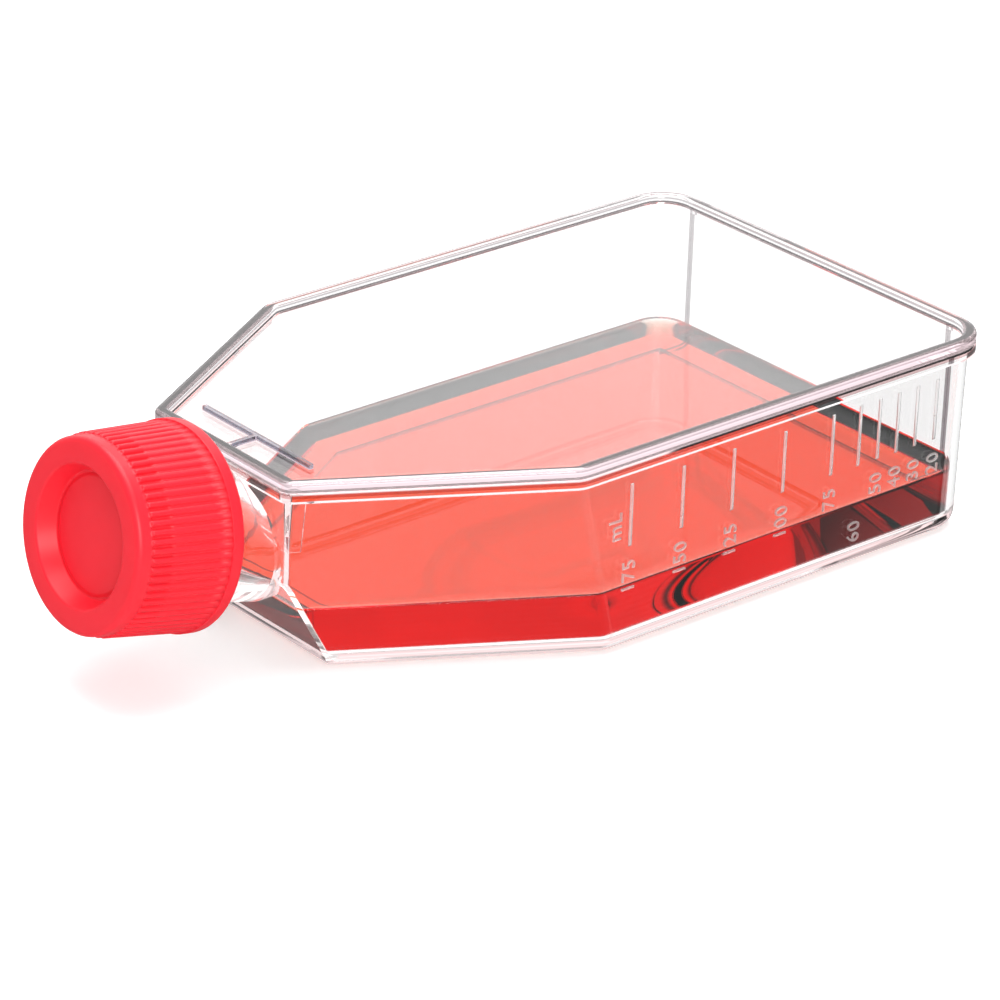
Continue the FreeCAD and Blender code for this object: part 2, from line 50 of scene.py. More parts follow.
lipLow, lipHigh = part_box("top_plate")
mediumLow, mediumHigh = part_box("culture_medium")
capJoint = next(joint for joint in frame["joints"] if joint["name"] == "cap_turn")
neckRoot = Vector(capJoint["pos_m"])
neckAxis = Vector(capJoint["axis"]).normalized()
neckFrame = Matrix.Translation(neckRoot) @ neckAxis.to_track_quat("Z", "Y").to_matrix().to_4x4()


# shader helpers: material is a material or the world
def newMaterial(name):
    material = bpy.data.materials.new(name)
    material.use_nodes = True
    material.node_tree.nodes.clear()
    return material


def addNode(material, kind, values=None, **settings):
    node = material.node_tree.nodes.new(kind)
    for key, value in settings.items():
        setattr(node, key, value)
    for socket, value in (values or {}).items():
        node.inputs[socket].default_value = value
    return node


def join(material, fromSocket, toSocket):
    material.node_tree.links.new(fromSocket, toSocket)


def calculate(material, operation, *terms):
    node = addNode(material, "ShaderNodeMath", operation=operation)
    for i, term in enumerate(terms):
        if isinstance(term, (int, float)):
            node.inputs[i].default_value = term
        else:
            join(material, term, node.inputs[i])
    return node.outputs[0]


def multiply(material, first, *others):
    total = first
    for other in others:
        total = calculate(material, "MULTIPLY", total, other)
    return total


def above(material, source, limit):
    return calculate(material, "GREATER_THAN", source, limit)


def below(material, source, limit):
    return calculate(material, "LESS_THAN", source, limit)


def blend(material, source, start, end, low, high):
    values = {"From Min": start, "From Max": end, "To Min": low, "To Max": high}
    node = addNode(material, "ShaderNodeMapRange", values, interpolation_type="SMOOTHSTEP")
    join(material, source, node.inputs["Value"])
    return node.outputs["Result"]


def remap(material, source, low, high):
    node = addNode(material, "ShaderNodeMapRange", {"To Min": low, "To Max": high})
    join(material, source, node.inputs["Value"])
    return node.outputs["Result"]


def mixColours(material, share, low, high):
    # low and high are colours or sockets
    mix = addNode(material, "ShaderNodeMix", data_type="RGBA")
    for socket, colour in (("A", low), ("B", high)):
        if isinstance(colour, tuple):
            mix.inputs[socket].default_value = (*colour, 1)
        else:
            join(material, colour, mix.inputs[socket])
    join(material, share, mix.inputs["Factor"])
    return mix.outputs["Result"]


def ownPlace(material):
    place = addNode(material, "ShaderNodeTexCoord")
    split = addNode(material, "ShaderNodeSeparateXYZ")
    join(material, place.outputs["Object"], split.inputs[0])
    return [split.outputs[axis] for axis in "XYZ"]


def noiseField(material, scale, detail, stretch=(1, 1, 1)):
    place = addNode(material, "ShaderNodeTexCoord")
    mapping = addNode(material, "ShaderNodeMapping", {"Scale": stretch})
    noise = addNode(material, "ShaderNodeTexNoise", {"Scale": scale, "Detail": detail})
    join(material, place.outputs["Object"], mapping.inputs["Vector"])
    join(material, mapping.outputs["Vector"], noise.inputs["Vector"])
    return noise.outputs["Fac"]


def bumpFrom(material, source, depth, strength=1.0):
    node = addNode(material, "ShaderNodeBump", {"Strength": strength, "Distance": depth})
    join(material, source, node.inputs["Height"])
    return node.outputs["Normal"]


def absorb(material, colour, density):
    node = addNode(material, "ShaderNodeVolumeAbsorption", {"Color": (*colour, 1), "Density": density})
    return node.outputs["Volume"]


def finishMaterial(material, surface, volume=None):
    output = addNode(material, "ShaderNodeOutputMaterial")
    join(material, surface, output.inputs["Surface"])
    if volume:
        join(material, volume, output.inputs["Volume"])
    return material


# Light that is thrown back four times inside clear plastic or liquid is given up and would be black.
# The two clear materials glow a little for it, and the plastic also for light thrown back once in one wall.
mirroredOnce = 0.5
mirroredOut = 3.5

clearLook = {
    "ior": 1.59,  # polystyrene
    "tint": (0.97, 0.985, 0.99),
    "tintDensity": 9.0,  # per metre, so that only long ways through the edges show it
    "flowScale": 55.0, "flowDetail": 2.0, "flowStretch": (0.35, 1.0, 1.0), "flowDepth": 0.004 * mm,
    "glow": {"plate": (0.06, 0.8), "tray": (0.3, 0.5)},  # least and most glow of caught light
    "glowColour": {"plate": (1.0, 0.82, 0.87), "tray": (1.0, 0.76, 0.76)},
    "streakStep": 0.55 * mm, "streakLean": 0.35,
    "caughtDepth": 6.5, "onceDepth": 4.5, "onceShare": 0.3,  # only light that stayed in one wall glows
    "trayLip": (29.5 * mm, 32.5 * mm),  # heights between which the tray's glow comes up
    "trayFront": (10.5 * mm, 12.5 * mm),  # up to this X the tray glows at every height
    "trayFoot": (2.6 * mm, 3.4 * mm),  # and so does its foot, up to these heights
    # painted shade lines under the rounded top and under the weld
    "shadeLine": {"plate": 34.78 * mm, "tray": 32.85 * mm},
    "shadeLineHalf": {"plate": 0.13 * mm, "tray": 0.3 * mm},
    "shadeLineTint": {"plate": (0.36, 0.33, 0.34), "tray": (0.5, 0.27, 0.27)},
    # painted shade lines where the back corners meet the back wall
    "cornerShade": (0.12, 0.10, 0.11), "cornerShadeHalf": 0.34 * mm, "cornerRound": 9.0 * mm,
    # painted shade on the ribs of the tee
    "ribShade": (0.20, 0.21, 0.27), "ribAbove": 34.36 * mm,
    "ribFrom": 2.5 * mm, "ribTo": 8.2 * mm, "ribHalf": 15.6 * mm,
}


def caughtGlow(material, part, x, z):
    # painted glow: light caught in the plastic is painted as emission in pale and dark streaks along the rim
    look = clearLook
    path = addNode(material, "ShaderNodeLightPath")
    mirrored, depth = path.outputs["Glossy Depth"], path.outputs["Ray Depth"]
    caught = above(material, mirrored, mirroredOut)
    caught = multiply(material, caught, below(material, depth, look["caughtDepth"]))
    once = above(material, mirrored, mirroredOnce)
    once = multiply(material, once, below(material, depth, look["onceDepth"]), look["onceShare"])
    share = calculate(material, "ADD", caught, once)
    streak = calculate(material, "ADD", multiply(material, path.outputs["Ray Length"], look["streakLean"]), z)
    streak = calculate(material, "PINGPONG", streak, look["streakStep"])
    glow = blend(material, streak, 0.0, look["streakStep"], *look["glow"][part])
    if part == "tray":
        lip = blend(material, z, *look["trayLip"], 0.0, 1.0)
        front = blend(material, x, *look["trayFront"], 1.0, 0.0)
        foot = blend(material, z, *look["trayFoot"], 1.0, 0.0)
        edges = calculate(material, "MAXIMUM", calculate(material, "MAXIMUM", lip, front), foot)
        glow = multiply(material, glow, edges)
    return multiply(material, share, glow)


def plasticPaintedShade(material, part, x, y, z):
    # painted shade: a fine dark line runs round each half of the rim, under the rounded top and under the
    # weld
    look = clearLook
    shadeLine = calculate(material, "COMPARE", z, look["shadeLine"][part], look["shadeLineHalf"][part])
    colour = mixColours(material, shadeLine, (1, 1, 1), look["shadeLineTint"][part])
    across = calculate(material, "ABSOLUTE", y)
    if part == "tray":
        # painted shade: dark upright lines where the rounded back corners run out into the back wall
        line = calculate(material, "COMPARE", across, lipHigh.y - look["cornerRound"], look["cornerShadeHalf"])
        line = multiply(material, line, above(material, x, lipHigh.x - look["cornerRound"]))
        return mixColours(material, line, colour, look["cornerShade"])
    # painted shade: the ribs of the tee on the plate are painted dark, for the light that they bend away
    rib = above(material, x, lipLow.x + look["ribFrom"])
    rib = multiply(material, rib, below(material, x, lipLow.x + look["ribTo"]))
    rib = multiply(material, rib, below(material, across, look["ribHalf"]))
    rib = multiply(material, rib, above(material, z, look["ribAbove"]))
    return mixColours(material, rib, colour, look["ribShade"])


def clearPlastic(part):
    look = clearLook
    material = newMaterial("clear_polystyrene_" + part)
    flow = noiseField(material, look["flowScale"], look["flowDetail"], look["flowStretch"])
    shader = addNode(material, "ShaderNodeBsdfPrincipled", {
        "Roughness": 0.0, "IOR": look["ior"], "Transmission Weight": 1.0,
        "Emission Color": (*look["glowColour"][part], 1),
    })
    x, y, z = ownPlace(material)
    join(material, plasticPaintedShade(material, part, x, y, z), shader.inputs["Base Color"])
    join(material, bumpFrom(material, flow, look["flowDepth"]), shader.inputs["Normal"])
    join(material, caughtGlow(material, part, x, z), shader.inputs["Emission Strength"])
    volume = absorb(material, look["tint"], look["tintDensity"])
    return finishMaterial(material, shader.outputs["BSDF"], volume)


mediumLook = {
    "ior": 1.336,
    "keeps": (0.996, 0.35, 0.0),  # share of each colour kept over one density length
    "density": 330.0,
    "glow": 0.8, "glowTo": (12.0 * mm, 16.0 * mm),  # light caught in the liquid glows up to this X
    "cornerGlow": 0.25, "corner": 9.5 * mm,  # and faintly in the rounded back corners
}


def mediumLiquid():
    look = mediumLook
    material = newMaterial("red_medium")
    shader = addNode(material, "ShaderNodeBsdfPrincipled", {
        "Base Color": (1, 1, 1, 1), "Roughness": 0.0, "IOR": look["ior"], "Transmission Weight": 1.0,
        "Emission Color": (1, 1, 1, 1),
    })
    path = addNode(material, "ShaderNodeLightPath")
    x, y = ownPlace(material)[:2]
    caught = above(material, path.outputs["Glossy Depth"], mirroredOut)
    front = blend(material, x, *look["glowTo"], look["glow"], 0.0)
    across = calculate(material, "ABSOLUTE", y)
    back = above(material, x, mediumHigh.x - look["corner"])
    side = above(material, across, mediumHigh.y - look["corner"])
    corner = multiply(material, back, side, look["cornerGlow"])
    glow = multiply(material, caught, calculate(material, "MAXIMUM", front, corner))
    join(material, glow, shader.inputs["Emission Strength"])
    volume = absorb(material, look["keeps"], look["density"])
    return finishMaterial(material, shader.outputs["BSDF"], volume)


capLook = {
    "red": (0.90, 0.016, 0.034), "deepRed": (0.85, 0.010, 0.026), "cloudScale": 160.0, "cloudDetail": 3.0,
    "roughness": (0.34, 0.46), "ior": 1.5, "specular": 0.4,
    "subsurface": 0.15, "subsurfaceReach": (1.2 * mm, 0.3 * mm, 0.3 * mm),
    "grainScale": 2600.0, "grainDetail": 2.0, "grainDepth": 0.006 * mm, "grainStrength": 0.6,
}


def capPlastic():
    look = capLook
    material = newMaterial("red_polyethylene")
    cloud = noiseField(material, look["cloudScale"], look["cloudDetail"])
    grain = noiseField(material, look["grainScale"], look["grainDetail"])
    shader = addNode(material, "ShaderNodeBsdfPrincipled", {
        "IOR": look["ior"], "Specular IOR Level": look["specular"], "Subsurface Scale": 1.0,
        "Subsurface Weight": look["subsurface"], "Subsurface Radius": look["subsurfaceReach"],
    })
    bump = bumpFrom(material, grain, look["grainDepth"], look["grainStrength"])
    join(material, mixColours(material, cloud, look["red"], look["deepRed"]), shader.inputs["Base Color"])
    join(material, remap(material, cloud, *look["roughness"]), shader.inputs["Roughness"])
    join(material, bump, shader.inputs["Normal"])
    return finishMaterial(material, shader.outputs["BSDF"])


linerLook = {
    "white": (0.82, 0.81, 0.78), "shade": (0.74, 0.73, 0.70), "roughness": 0.55, "ior": 1.5,
    "poreScale": 2200.0, "poreDetail": 4.0, "poreDepth": 0.03 * mm, "poreStrength": 0.5,
}


def linerFoam():
    look = linerLook
    material = newMaterial("liner_polyethylene_foam")
    pores = noiseField(material, look["poreScale"], look["poreDetail"])
    shader = addNode(material, "ShaderNodeBsdfPrincipled", {
        "Roughness": look["roughness"], "IOR": look["ior"],
    })
    bump = bumpFrom(material, pores, look["poreDepth"], look["poreStrength"])
    join(material, mixColours(material, pores, look["shade"], look["white"]), shader.inputs["Base Color"])
    join(material, bump, shader.inputs["Normal"])
    return finishMaterial(material, shader.outputs["BSDF"])


markLook = {
    "ior": 1.2, "clear": 0.82, "white": (0.97, 0.95, 0.95),
    "roughness": (0.2, 0.4), "cloudScale": 900.0, "cloudDetail": 3.0,
}


def markPlastic():
    look = markLook
    material = newMaterial("raised_marks")
    cloud = noiseField(material, look["cloudScale"], look["cloudDetail"])
    shader = addNode(material, "ShaderNodeBsdfPrincipled", {
        "Base Color": (*look["white"], 1), "IOR": look["ior"], "Transmission Weight": look["clear"],
    })
    join(material, remap(material, cloud, *look["roughness"]), shader.inputs["Roughness"])
    return finishMaterial(material, shader.outputs["BSDF"])


trayMaterial = clearPlastic("tray")
plateMaterial = clearPlastic("plate")
mediumMaterial = mediumLiquid()
capMaterial = capPlastic()
linerMaterial = linerFoam()
markMaterial = markPlastic()


def dressNode(name, material):
    node = frame["nodes"][name]
    node.data.materials.clear()
    node.data.materials.append(material)


dressNode("flask_tray", trayMaterial)
dressNode("top_plate", plateMaterial)
dressNode("cap_liner", linerMaterial)
print("materials on the moulded parts")


# mesh helpers
def newPiece(name, verts, polygons, material, body, replaces=None, place=None, smooth=True):
    mesh = bpy.data.meshes.new(name)
    mesh.from_pydata([tuple(v) for v in verts], [], polygons)
    if place is not None:
        mesh.transform(place)
    mesh.validate()
    mesh.polygons.foreach_set("use_smooth", [smooth] * len(mesh.polygons))
    mesh.materials.append(material)
    piece = bpy.data.objects.new(name, mesh)
    bpy.context.scene.collection.objects.link(piece)
    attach(piece, body)
    if replaces:
        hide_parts(replaces)
    return piece


def loftRings(rings):
    # a skin over the rings, in their order, with a flat face over the first and the last
    verts = [point for ring in rings for point in ring]
    count = len(rings[0])
    lastRing = (len(rings) - 1) * count
    polygons = []
    for low in range(0, lastRing, count):
        for j in range(count):
            k = (j + 1) % count
            polygons.append((low + j, low + k, low + count + k, low + count + j))
    polygons.append(tuple(reversed(range(count))))
    polygons.append(tuple(range(lastRing, lastRing + count)))
    return verts, polygons


def cornerArc(before, here, after, radius, steps):
    here = Vector(here)
    toBefore = (Vector(before) - here).normalized()
    toAfter = (Vector(after) - here).normalized()
    halfAngle = toBefore.angle(toAfter) / 2
    reach = radius / math.tan(halfAngle)
    centre = here + (toBefore + toAfter).normalized() * radius / math.sin(halfAngle)
    start = here + toBefore * reach - centre
    end = here + toAfter * reach - centre
    sweep = -start.angle_signed(end)
    arms = [Matrix.Rotation(sweep * step / steps, 2) @ start for step in range(steps + 1)]
    return [(centre.x + arm.x, centre.y + arm.y) for arm in arms]


# sizes of the tray that the liquid and the graduations follow
tray = {
    "shoulderAngle": 31.0, "lipFrontHalf": 17.4 * mm, "weldHeight": 33.3 * mm,
    "sideDraft": 1.2, "shoulderDraft": 7.9, "frontDraft": 3.0,
    "rampHeight": 15.6 * mm, "rampFoot": 9.6 * mm, "overhang": 1.2 * mm, "wall": 1.2 * mm,
    "corners": {"back": 7.8 * mm, "shoulder": 5.0 * mm, "front": 2.6 * mm}, "leastRound": 0.4 * mm,
}
medium = {
    "wallGap": 0.05 * mm, "rampSink": 0.09 * mm,
    "floorGap": 0.04 * mm, "floorRound": 1.4 * mm, "floorSteps": 6,
    "meniscus": 0.55 * mm, "meniscusReach": 0.8 * mm, "meniscusFar": 4.5, "meniscusCrowd": 1.6,
    "meniscusSteps": 9, "cornerSteps": 8,
}


def slope(degrees):
    return math.tan(math.radians(degrees))


def wallCorners(height, inset):
    drop = tray["weldHeight"] - height
    tilt = math.radians(tray["shoulderAngle"])
    sideIn = inset + drop * slope(tray["sideDraft"])
    shoulderIn = inset + drop * slope(tray["shoulderDraft"])
    half = lipHigh.y - sideIn
    back = lipHigh.x - sideIn
    # the ramp under the neck cuts the front off lower down
    rampHeight = tray["rampHeight"]
    rampTop = tray["overhang"] + (tray["weldHeight"] - rampHeight) * slope(tray["frontDraft"])
    run = tray["rampFoot"] - rampTop
    slant = math.hypot(run, rampHeight) / rampHeight
    rampX = rampTop + (inset - tray["overhang"] - medium["rampSink"]) * slant
    rampX += (rampHeight - height) * run / rampHeight
    front = lipLow.x + max(inset + drop * slope(tray["frontDraft"]), rampX)
    frontHalf = tray["lipFrontHalf"] + (front - lipLow.x) * math.tan(tilt) - shoulderIn / math.cos(tilt)
    shoulderX = front + (half - frontHalf) / math.tan(tilt)
    return [(back, half, "back"), (shoulderX, half, "shoulder"), (front, frontHalf, "front"),
            (front, -frontHalf, "front"), (shoulderX, -half, "shoulder"), (back, -half, "back")]


def wallRing(height, inset):
    corners = wallCorners(height, inset)
    ring = []
    for i, (x, y, kind) in enumerate(corners):
        before, after = corners[i - 1][:2], corners[(i + 1) % len(corners)][:2]
        radius = max(tray["corners"][kind] - inset, tray["leastRound"])
        arc = cornerArc(before, (x, y), after, radius, medium["cornerSteps"])
        ring += [(px, py, height) for px, py in arc]
    return ring


def mediumPiece():
    floor = mediumLow.z + medium["floorGap"]
    inset = tray["overhang"] + tray["wall"] + medium["wallGap"]
    rings = []
    for step in range(medium["floorSteps"] + 1):
        angle = math.pi / 2 * step / medium["floorSteps"]
        rise = medium["floorRound"] * (1 - math.cos(angle))
        draw = medium["floorRound"] * (1 - math.sin(angle))
        rings.append(wallRing(floor + rise, inset + draw))
    level = mediumHigh.z
    rings.append(wallRing(level, inset))
    rings.append(wallRing(level + medium["meniscus"], inset))
    steps = medium["meniscusSteps"]
    for step in range(1, steps + 1):
        away = medium["meniscusFar"] * medium["meniscusReach"] * (step / steps) ** medium["meniscusCrowd"]
        rise = medium["meniscus"] * math.exp(-away / medium["meniscusReach"]) if step < steps else 0
        rings.append(wallRing(level + rise, inset + away))
    verts, polygons = loftRings(rings)
    return newPiece("culture_medium_liquid", verts, polygons, mediumMaterial, "flask",
                    replaces="culture_medium")


mediumPiece()
print("liquid with its meniscus")


# the cap is turned round the neck's axis; its heights count along that axis from the joint
cap = {
    "rear": 8.1 * mm, "length": 19.2 * mm, "boreRadius": 14.1 * mm, "skirtRadius": 16.8 * mm,
    "skirtBand": 2.3 * mm, "faceRadius": 15.5 * mm, "gripRear": 16.3 * mm, "gripFront": 15.6 * mm,
    "frontBand": 2.2 * mm, "frontStep": 0.4 * mm, "web": 1.4 * mm, "webHole": 2.0 * mm,
    "recessRim": 11.3 * mm, "recessFoot": 10.0 * mm, "recessDepth": 3.0 * mm,
    "dome": 0.3 * mm, "domeInner": 0.6, "domeShares": (0.95, 0.7), "domeTip": 0.02 * mm,
    "grooveWidth": 0.9 * mm, "grooveFoot": 0.5 * mm, "grooveDepth": 0.05 * mm,
    "mouth": 0.9 * mm,  # the bore flares at its rear by this
    "rounds": {"dome": 0.8 * mm, "groove": 0.2 * mm, "recess": 0.5 * mm, "face": 1.1 * mm,
               "ledge": 0.12 * mm, "skirt": 0.6 * mm, "mouth": 0.3 * mm, "bore": 0.2 * mm, "web": 0.4 * mm},
    "roundSteps": 5,
    "ribCount": 68, "ribHalf": 0.54 * mm, "ribHeight": 0.3 * mm, "ribNose": 0.5 * mm,
    "ribColumns": 9, "gapColumns": 3, "noseSteps": 6, "gripSteps": 4,
    # the grooves are deeper next to the face: distance from the notch's end, and share of its depth
    "notchDepth": 0.28 * mm, "notchLength": 3.3 * mm,
    "notchSlope": ((0.35 * mm, 1.0), (0.1 * mm, 0.8), (-0.15 * mm, 0.1), (-0.4 * mm, 0.0)),
}
capFace = cap["rear"] + cap["length"]
skirtEnd = cap["rear"] + cap["skirtBand"]
bandEnd = capFace - cap["frontBand"]
recessFloor = capFace - cap["recessDepth"]
capCeiling = recessFloor - cap["web"]


def roundedLine(points, steps):
    line = []
    for i, (r, a, radius) in enumerate(points):
        if radius == 0:
            line.append((r, a))
        else:
            line += cornerArc(points[i - 1][:2], (r, a), points[i + 1][:2], radius, steps)
    return line


# a row of the cap is a radius, a height, and how much of the ribs and of the notch shows there
def faceRows():
    rounds = cap["rounds"]
    domeEdge = cap["recessFoot"] - cap["grooveWidth"]
    innerShare, edgeShare = cap["domeShares"]
    line = roundedLine([
        (domeEdge * cap["domeInner"], recessFloor + cap["dome"] * innerShare, 0),
        (domeEdge, recessFloor + cap["dome"] * edgeShare, rounds["dome"]),
        (domeEdge + cap["grooveFoot"], recessFloor - cap["grooveDepth"], rounds["groove"]),
        (cap["recessFoot"], recessFloor, rounds["groove"]),
        (cap["recessRim"], capFace, rounds["recess"]),
        (cap["faceRadius"], capFace, rounds["face"]),
        (cap["faceRadius"], bandEnd, 0),
    ], cap["roundSteps"])
    return [(r, a, 0.0, 0.0) for r, a in line]


def gripRows():
    front = bandEnd - cap["frontStep"]
    notchEnd = front - cap["ribNose"] - cap["notchLength"]
    lean = (cap["gripRear"] - cap["gripFront"]) / (front - skirtEnd)
    heights = [(front, 0.0, 0.0)]
    for step in range(1, cap["noseSteps"] + 1):
        angle = math.pi / 2 * step / cap["noseSteps"]
        share = math.sin(angle)
        heights.append((front - cap["ribNose"] * (1 - math.cos(angle)), share, share))
    heights += [(notchEnd + offset, 1.0, notch) for offset, notch in cap["notchSlope"]]
    for step in range(1, cap["gripSteps"] + 1):
        heights.append((notchEnd + (skirtEnd - notchEnd) * step / cap["gripSteps"], 1.0, 0.0))
    return [(cap["gripFront"] + lean * (front - a), a, share, notch) for a, share, notch in heights]


def skirtRows():
    rounds = cap["rounds"]
    line = roundedLine([
        (cap["gripRear"], skirtEnd, 0),
        (cap["skirtRadius"], skirtEnd, rounds["ledge"]),
        (cap["skirtRadius"], cap["rear"], rounds["skirt"]),
        (cap["boreRadius"] + cap["mouth"], cap["rear"], rounds["mouth"]),
        (cap["boreRadius"], cap["rear"] + cap["mouth"], rounds["bore"]),
        (cap["boreRadius"], capCeiling, rounds["web"]),
        (cap["webHole"], capCeiling, 0),
    ], cap["roundSteps"])
    return [(r, a, 0.0, 0.0) for r, a in line[1:]]


def ribAngles():
    # where the columns stand round the cap, and how far each is lifted from groove to crest
    pitch = 2 * math.pi / cap["ribCount"]
    half = cap["ribHalf"] / ((cap["gripRear"] + cap["gripFront"]) / 2)
    offsets = []
    for i in range(cap["ribColumns"]):
        turn = math.pi * (i / (cap["ribColumns"] - 1) - 0.5)
        offsets.append((half * math.sin(turn), math.cos(turn)))
    gap = pitch - 2 * half
    for i in range(1, cap["gapColumns"] + 1):
        offsets.append((half + gap * i / (cap["gapColumns"] + 1), 0.0))
    return [(rib * pitch + offset, lift) for rib in range(cap["ribCount"]) for offset, lift in offsets]


def capPiece():
    rows = faceRows() + gripRows() + skirtRows()
    angles = ribAngles()
    rings = []
    for r, a, share, notch in rows:
        groove = r - notch * cap["notchDepth"]
        crest = r + share * cap["ribHeight"]
        ring = []
        for turn, lift in angles:
            reach = groove + (crest - groove) * lift
            ring.append((reach * math.cos(turn), reach * math.sin(turn), a))
        rings.append(ring)
    verts, polygons = loftRings(rings)
    polygons = polygons[:-2]  # both ends run to a point instead of a flat face
    tip, ceiling = len(verts), len(verts) + 1
    verts += [(0, 0, rows[0][1] + cap["domeTip"]), (0, 0, capCeiling)]
    count = len(angles)
    lastRing = (len(rows) - 1) * count
    for j in range(count):
        k = (j + 1) % count
        polygons.append((tip, k, j))
        polygons.append((ceiling, lastRing + j, lastRing + k))
    return newPiece("screw_cap", verts, polygons, capMaterial, "cap",
                    replaces="cap_shell", place=neckFrame)


capPiece()
print("ribbed cap")


thread = {
    "pitch": 4.0 * mm, "columns": 96, "runOut": 10, "leastCrest": 0.06,
    "neck": {"root": 12.52 * mm, "crest": 13.55 * mm, "start": 11.2 * mm, "turns": 1.85,
             "foot": 1.9 * mm, "top": 0.8 * mm},
    "cap": {"root": 14.08 * mm, "crest": 12.95 * mm, "start": 9.25 * mm, "turns": 1.9,
            "foot": 1.7 * mm, "top": 0.7 * mm},
}


def threadPiece(name, side, material, body):
    steps = int(thread["columns"] * side["turns"])
    rings = []
    for step in range(steps + 1):
        turn = 2 * math.pi * step / thread["columns"]
        # the thread fades out over a few columns at both ends
        taper = min(1, step / thread["runOut"], (steps - step) / thread["runOut"])
        taper = max(thread["leastCrest"], math.sin(taper * math.pi / 2))
        crest = side["root"] + (side["crest"] - side["root"]) * taper
        middle = side["start"] + thread["pitch"] * step / thread["columns"]
        foot, top = side["foot"] / 2, side["top"] / 2 * taper
        section = [(side["root"], -foot), (crest, -top), (crest, top), (side["root"], foot)]
        ring = [(r * math.cos(turn), r * math.sin(turn), middle + a) for r, a in section]
        rings.append(ring if side["crest"] > side["root"] else ring[::-1])
    verts, polygons = loftRings(rings)
    return newPiece(name, verts, polygons, material, body, place=neckFrame, smooth=False)


threadPiece("neck_thread", thread["neck"], trayMaterial, "flask")
threadPiece("cap_thread", thread["cap"], capMaterial, "cap")
print("screw threads")


marks = {
    # millimetres from the front of the rim to each line
    "lines": {"175": 50.5, "150": 61.2, "125": 71.8, "100": 82.7, "75": 93.2, "60": 99.2,
              "50": 103.5, "40": 107.7, "30": 111.9, "20": 116.3},
    "lineFoot": 18.4 * mm, "lineTop": 29.3 * mm, "lineHalf": 0.36 * mm, "lineSides": 8,
    "endLength": 0.3 * mm, "endShare": 0.15,  # a line sinks into the wall at its ends
    "proud": 0.2 * mm, "gap": 0.01 * mm,
    "digitsTop": 16.1 * mm, "digitHeight": 2.6 * mm, "digitLift": 0.02 * mm,
    "lowText": "60", "lowTop": 8.5 * mm,  # this number stands lower, clear of its neighbours
    "unit": "mL", "unitTop": 24.9 * mm, "unitX": 47.4 * mm,
    "letterShare": 0.69, "letterSpace": 1.1,  # a capital's share of the font's size, and the spacing
    "thinning": 0.035 * mm, "bevel": 0.03 * mm, "bevelSteps": 1, "curveSteps": 3,
}


def wallPlace(along, height):
    drop = tray["weldHeight"] - height
    y = -(lipHigh.y - tray["overhang"] - drop * slope(tray["sideDraft"])) - marks["gap"]
    return Vector((lipLow.x + along, y, height))


def markLines():
    foot, top, end = marks["lineFoot"], marks["lineTop"], marks["endLength"]
    stations = [(foot, marks["endShare"]), (foot + end, 1), (top - end, 1), (top, marks["endShare"])]
    verts, polygons = [], []
    for along in marks["lines"].values():
        rings = []
        for height, share in stations:
            middle = wallPlace(along * mm, height)
            ring = []
            for i in range(marks["lineSides"] + 1):
                turn = math.pi * i / marks["lineSides"]
                x = middle.x + marks["lineHalf"] * math.cos(turn)
                ring.append((x, middle.y - marks["proud"] * share * math.sin(turn), height))
            rings.append(ring)
        lineVerts, lineFaces = loftRings(rings)
        base = len(verts)
        verts += lineVerts
        polygons += [tuple(base + i for i in face) for face in lineFaces]
    return newPiece("graduation_lines", verts, polygons, markMaterial, "flask")


def textMesh(text, place):
    curve = bpy.data.curves.new("digits", "FONT")
    curve.body = text
    curve.size = marks["digitHeight"] / marks["letterShare"]
    curve.space_character = marks["letterSpace"]
    curve.align_x = "RIGHT"
    curve.align_y = "CENTER"
    curve.extrude = marks["proud"] / 2
    curve.bevel_depth = marks["bevel"]
    curve.bevel_resolution = marks["bevelSteps"]
    curve.offset = -marks["thinning"]
    curve.resolution_u = marks["curveSteps"]
    maker = bpy.data.objects.new("digits", curve)
    bpy.context.scene.collection.objects.link(maker)
    bpy.context.view_layer.update()
    mesh = bpy.data.meshes.new_from_object(maker.evaluated_get(bpy.context.evaluated_depsgraph_get()))
    bpy.data.objects.remove(maker)
    mesh.transform(place)
    return mesh


def markDigits():
    draft = math.radians(tray["sideDraft"])
    reading = Vector((0, -math.sin(draft), math.cos(draft)))  # the numbers read upwards
    rise = Vector((-1, 0, 0))
    turn = Matrix((reading, rise, reading.cross(rise))).transposed().to_4x4()
    labels = []
    for text, along in marks["lines"].items():
        labels.append((text, along * mm, marks["lowTop"] if text == marks["lowText"] else marks["digitsTop"]))
    labels.append((marks["unit"], marks["unitX"], marks["unitTop"]))
    verts, polygons = [], []
    for text, along, top in labels:
        origin = wallPlace(along, top) - Vector((0, marks["proud"] / 2 + marks["digitLift"], 0))
        mesh = textMesh(text, Matrix.Translation(origin) @ turn)
        base = len(verts)
        verts += [v.co.copy() for v in mesh.vertices]
        polygons += [tuple(base + i for i in p.vertices) for p in mesh.polygons]
        bpy.data.meshes.remove(mesh)
    return newPiece("graduation_digits", verts, polygons, markMaterial, "flask",
                    smooth=False)


markLines()
markDigits()
print("graduations")


stage = {
    "floorSize": 14.0, "floorGrey": 0.82, "floorGlow": 0.44, "floorMirrored": 0.28,
    "ambient": 0.5, "backdrop": 1.13,
    # for light thrown back inside glass the room in front is dim, and so is a panel on the left
    "room": {"aim": (0.636, 0.772, 0), "from": -0.15, "to": 0.3, "low": 0.08, "high": 1.0},
    "panel": {"aim": (-0.636, 0.772, 0), "from": 0.86, "to": 0.95, "low": 1.0, "high": 0.32},
    "softBox": {"aim": (0.574, 0.697, 0.45), "from": 0.70, "to": 0.86, "low": 0.55, "high": 1.6},
    "lamps": {"overhead": {"place": (0.05, 0.1, 0.9), "width": 0.8, "watts": 9.0},
              "front": {"place": (-0.45, -0.85, 0.5), "width": 0.5, "watts": 5.5}},
    "cameraPlace": (-0.42937, -0.53050, 0.33604), "cameraTurn": (64.5817, -0.7777, -39.0810),
    "cameraLens": 166.96, "cameraFar": 50,
}


